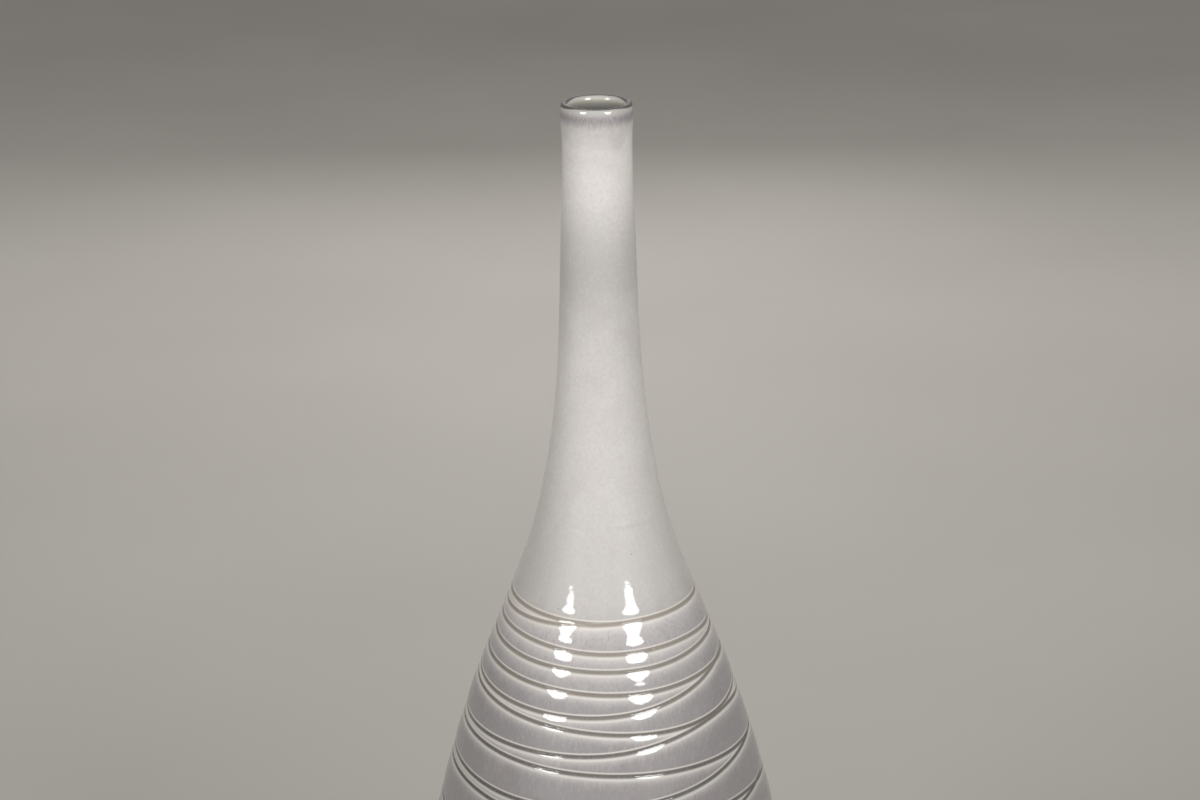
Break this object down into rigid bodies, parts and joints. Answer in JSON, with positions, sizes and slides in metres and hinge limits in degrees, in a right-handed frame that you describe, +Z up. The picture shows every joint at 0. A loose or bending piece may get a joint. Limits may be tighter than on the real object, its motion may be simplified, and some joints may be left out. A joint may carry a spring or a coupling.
{
  "type": "bottle vase",
  "caption": "Tall stoneware bottle vase with a long slim neck, a low full belly ringed by carved grooves, and a turned foot ring.",
  "frame": {"origin": "centre of the foot ring's resting plane, on the vase's axis", "axes": "+Z up along the vase's axis to the mouth; -Y faces the camera in the picture; the solids are turned, so +X and +Y are otherwise free"},
  "size_m": [0.2042, 0.2042, 0.64],
  "materials": {
    "pale_glaze": "glossy warm white-grey glaze, faintly speckled, darker and streaked just under the lip",
    "grey_glaze": "glossy lilac-grey glaze with fine vertical streaks, pooled dark in the carved grooves and pale cream on their edges",
    "bare_clay": "unglazed fired stoneware, matt and slightly gritty"
  },
  "bodies": {
    "root": {"neck": "pale_glaze", "shoulder": "grey_glaze", "belly": "grey_glaze", "lower_body": "grey_glaze", "foot_ring": "bare_clay"}
  },
  "joints": []
}
